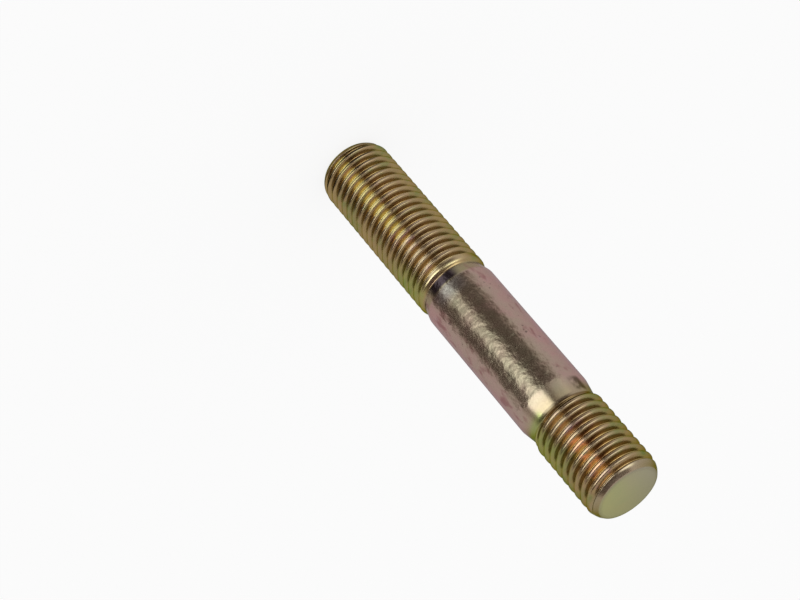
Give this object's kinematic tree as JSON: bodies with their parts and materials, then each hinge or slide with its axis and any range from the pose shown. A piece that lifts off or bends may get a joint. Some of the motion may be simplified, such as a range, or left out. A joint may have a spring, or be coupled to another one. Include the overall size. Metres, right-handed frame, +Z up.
{
  "type": "double ended stud",
  "caption": "Steel stud with a long and a short rolled thread either side of a plain shank, with necks, cones and chamfered ends, in yellow zinc plating.",
  "frame": {"origin": "centre of the end face of the long thread, which the stud stands on", "axes": "+Z up the stud's axis from the long thread to the short one; X and Y are across it"},
  "size_m": [0.016, 0.016, 0.1],
  "materials": {
    "zinc_plating": "yellow passivated zinc on rolled steel, half gloss"
  },
  "bodies": {
    "root": {"stud": "zinc_plating"}
  },
  "joints": []
}
